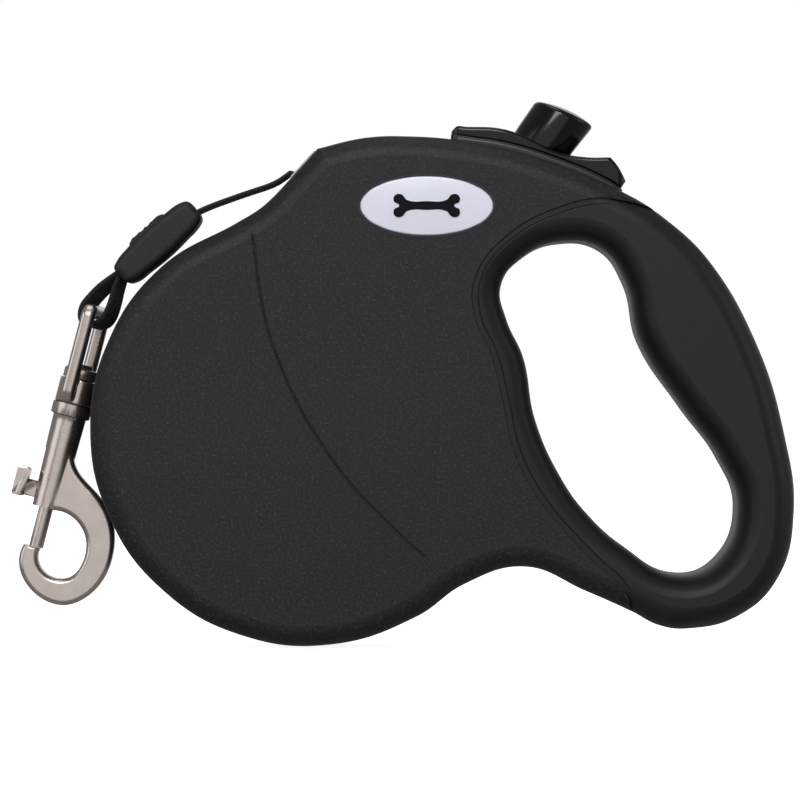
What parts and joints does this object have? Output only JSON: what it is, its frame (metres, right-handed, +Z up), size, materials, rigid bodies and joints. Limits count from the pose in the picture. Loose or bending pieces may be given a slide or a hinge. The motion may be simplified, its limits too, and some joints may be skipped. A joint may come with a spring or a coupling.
{
  "type": "retractable leash",
  "caption": "Retractable tape leash with a round reel casing, ring-shaped soft grip, thumb brake, rubber tape slider and swivel snap hook.",
  "frame": {"origin": "under the middle of the casing, on the surface the drum's rim stands on, in the parting plane", "axes": "+X from the tape's mouth towards the hand grip, +Y out of the back side face, +Z up, towards the brake button"},
  "size_m": [0.197, 0.0368, 0.1366],
  "materials": {
    "casing_plastic": "fine spark-eroded grain",
    "grip_rubber": "soft matt",
    "badge_rim": "satin",
    "badge_white": "domed gloss",
    "guide_plastic": "polished",
    "bezel_plastic": "satin",
    "gloss_black": "polished",
    "carriage_plastic": "moulded",
    "spool_plastic": "moulded",
    "steel": "zinc plated",
    "spring_steel": "blued",
    "tape": "woven nylon",
    "slider_rubber": "matt",
    "nickel": "satin nickel plate"
  },
  "bodies": {
    "casing": {"shell_front": "casing_plastic", "shell_back": "casing_plastic", "grip_front": "grip_rubber", "grip_back": "grip_rubber", "badge_base": "badge_rim", "badge_dome": "badge_white", "tape_guide": "guide_plastic", "brake_bezel": "bezel_plastic", "thumb_saddle": "gloss_black", "axle": "steel", "axle_washers": "steel", "lever_pin": "steel", "casing_screws": "steel"},
    "reel": {"spool": "spool_plastic", "spring_cover": "spool_plastic", "power_spring": "spring_steel", "wound_tape": "tape"},
    "lock": {"lock_carriage": "carriage_plastic", "brake_spring": "spring_steel"},
    "button": {"brake_button": "gloss_black"},
    "lever": {"brake_lever": "carriage_plastic"},
    "tape_end": {"tape_run": "tape", "tape_loop": "tape", "tape_slider": "slider_rubber"},
    "eye": {"swivel_eye": "nickel"},
    "hook": {"swivel_rivet": "nickel", "hook_body": "nickel", "bolt_spring": "spring_steel"},
    "bolt": {"hook_bolt": "nickel"}
  },
  "joints": [
    {"name": "reel_spin", "type": "hinge", "parent": "casing", "child": "reel", "pos_m": [-0.0342, 0, 0.0545], "axis": [0, -1, 0], "range_deg": [0, 360], "stiffness_Nm_per_rad": 0.01, "springref_deg": -687.55, "deforming": ["power_spring"]},
    {"name": "tape_pull", "type": "slide", "parent": "casing", "child": "tape_end", "axis": [-0.9407, 0, -0.3393], "range_m": [0, 0.25], "deforming": ["tape_run"]},
    {"name": "hook_swing", "type": "hinge", "parent": "tape_end", "child": "eye", "pos_m": [-0.08791, 0, 0.08368], "axis": [0.1764, 0.9833, -0.0456], "range_deg": [0, 90]},
    {"name": "hook_turn", "type": "hinge", "parent": "eye", "child": "hook", "pos_m": [-0.09435, 0, 0.0588], "axis": [0.2504, 0, 0.9681], "continuous": true},
    {"name": "bolt_pull", "type": "slide", "parent": "hook", "child": "bolt", "axis": [0.2504, 0, 0.9681], "range_m": [0, 0.0085], "stiffness_N_per_m": 300, "springref_m": -0.005, "deforming": ["bolt_spring"]},
    {"name": "lock_slide", "type": "slide", "parent": "casing", "child": "lock", "axis": [0.7986, 0, -0.6018], "range_m": [0, 0.0025]},
    {"name": "button_press", "type": "slide", "parent": "lock", "child": "button", "axis": [-0.6018, 0, -0.7986], "range_m": [0, 0.004], "stiffness_N_per_m": 600, "springref_m": -0.003, "deforming": ["brake_spring"]},
    {"name": "lever_turn", "type": "hinge", "parent": "casing", "child": "lever", "pos_m": [-0.01, 0, 0.117], "axis": [0, 1, 0], "range_deg": [0, 10.2]}
  ],
  "couplings": [
    {"joint": "tape_pull", "follows": "reel_spin", "m_per_rad": 0.03978},
    {"joint": "lever_turn", "follows": "button_press", "rad_per_m": 44}
  ]
}
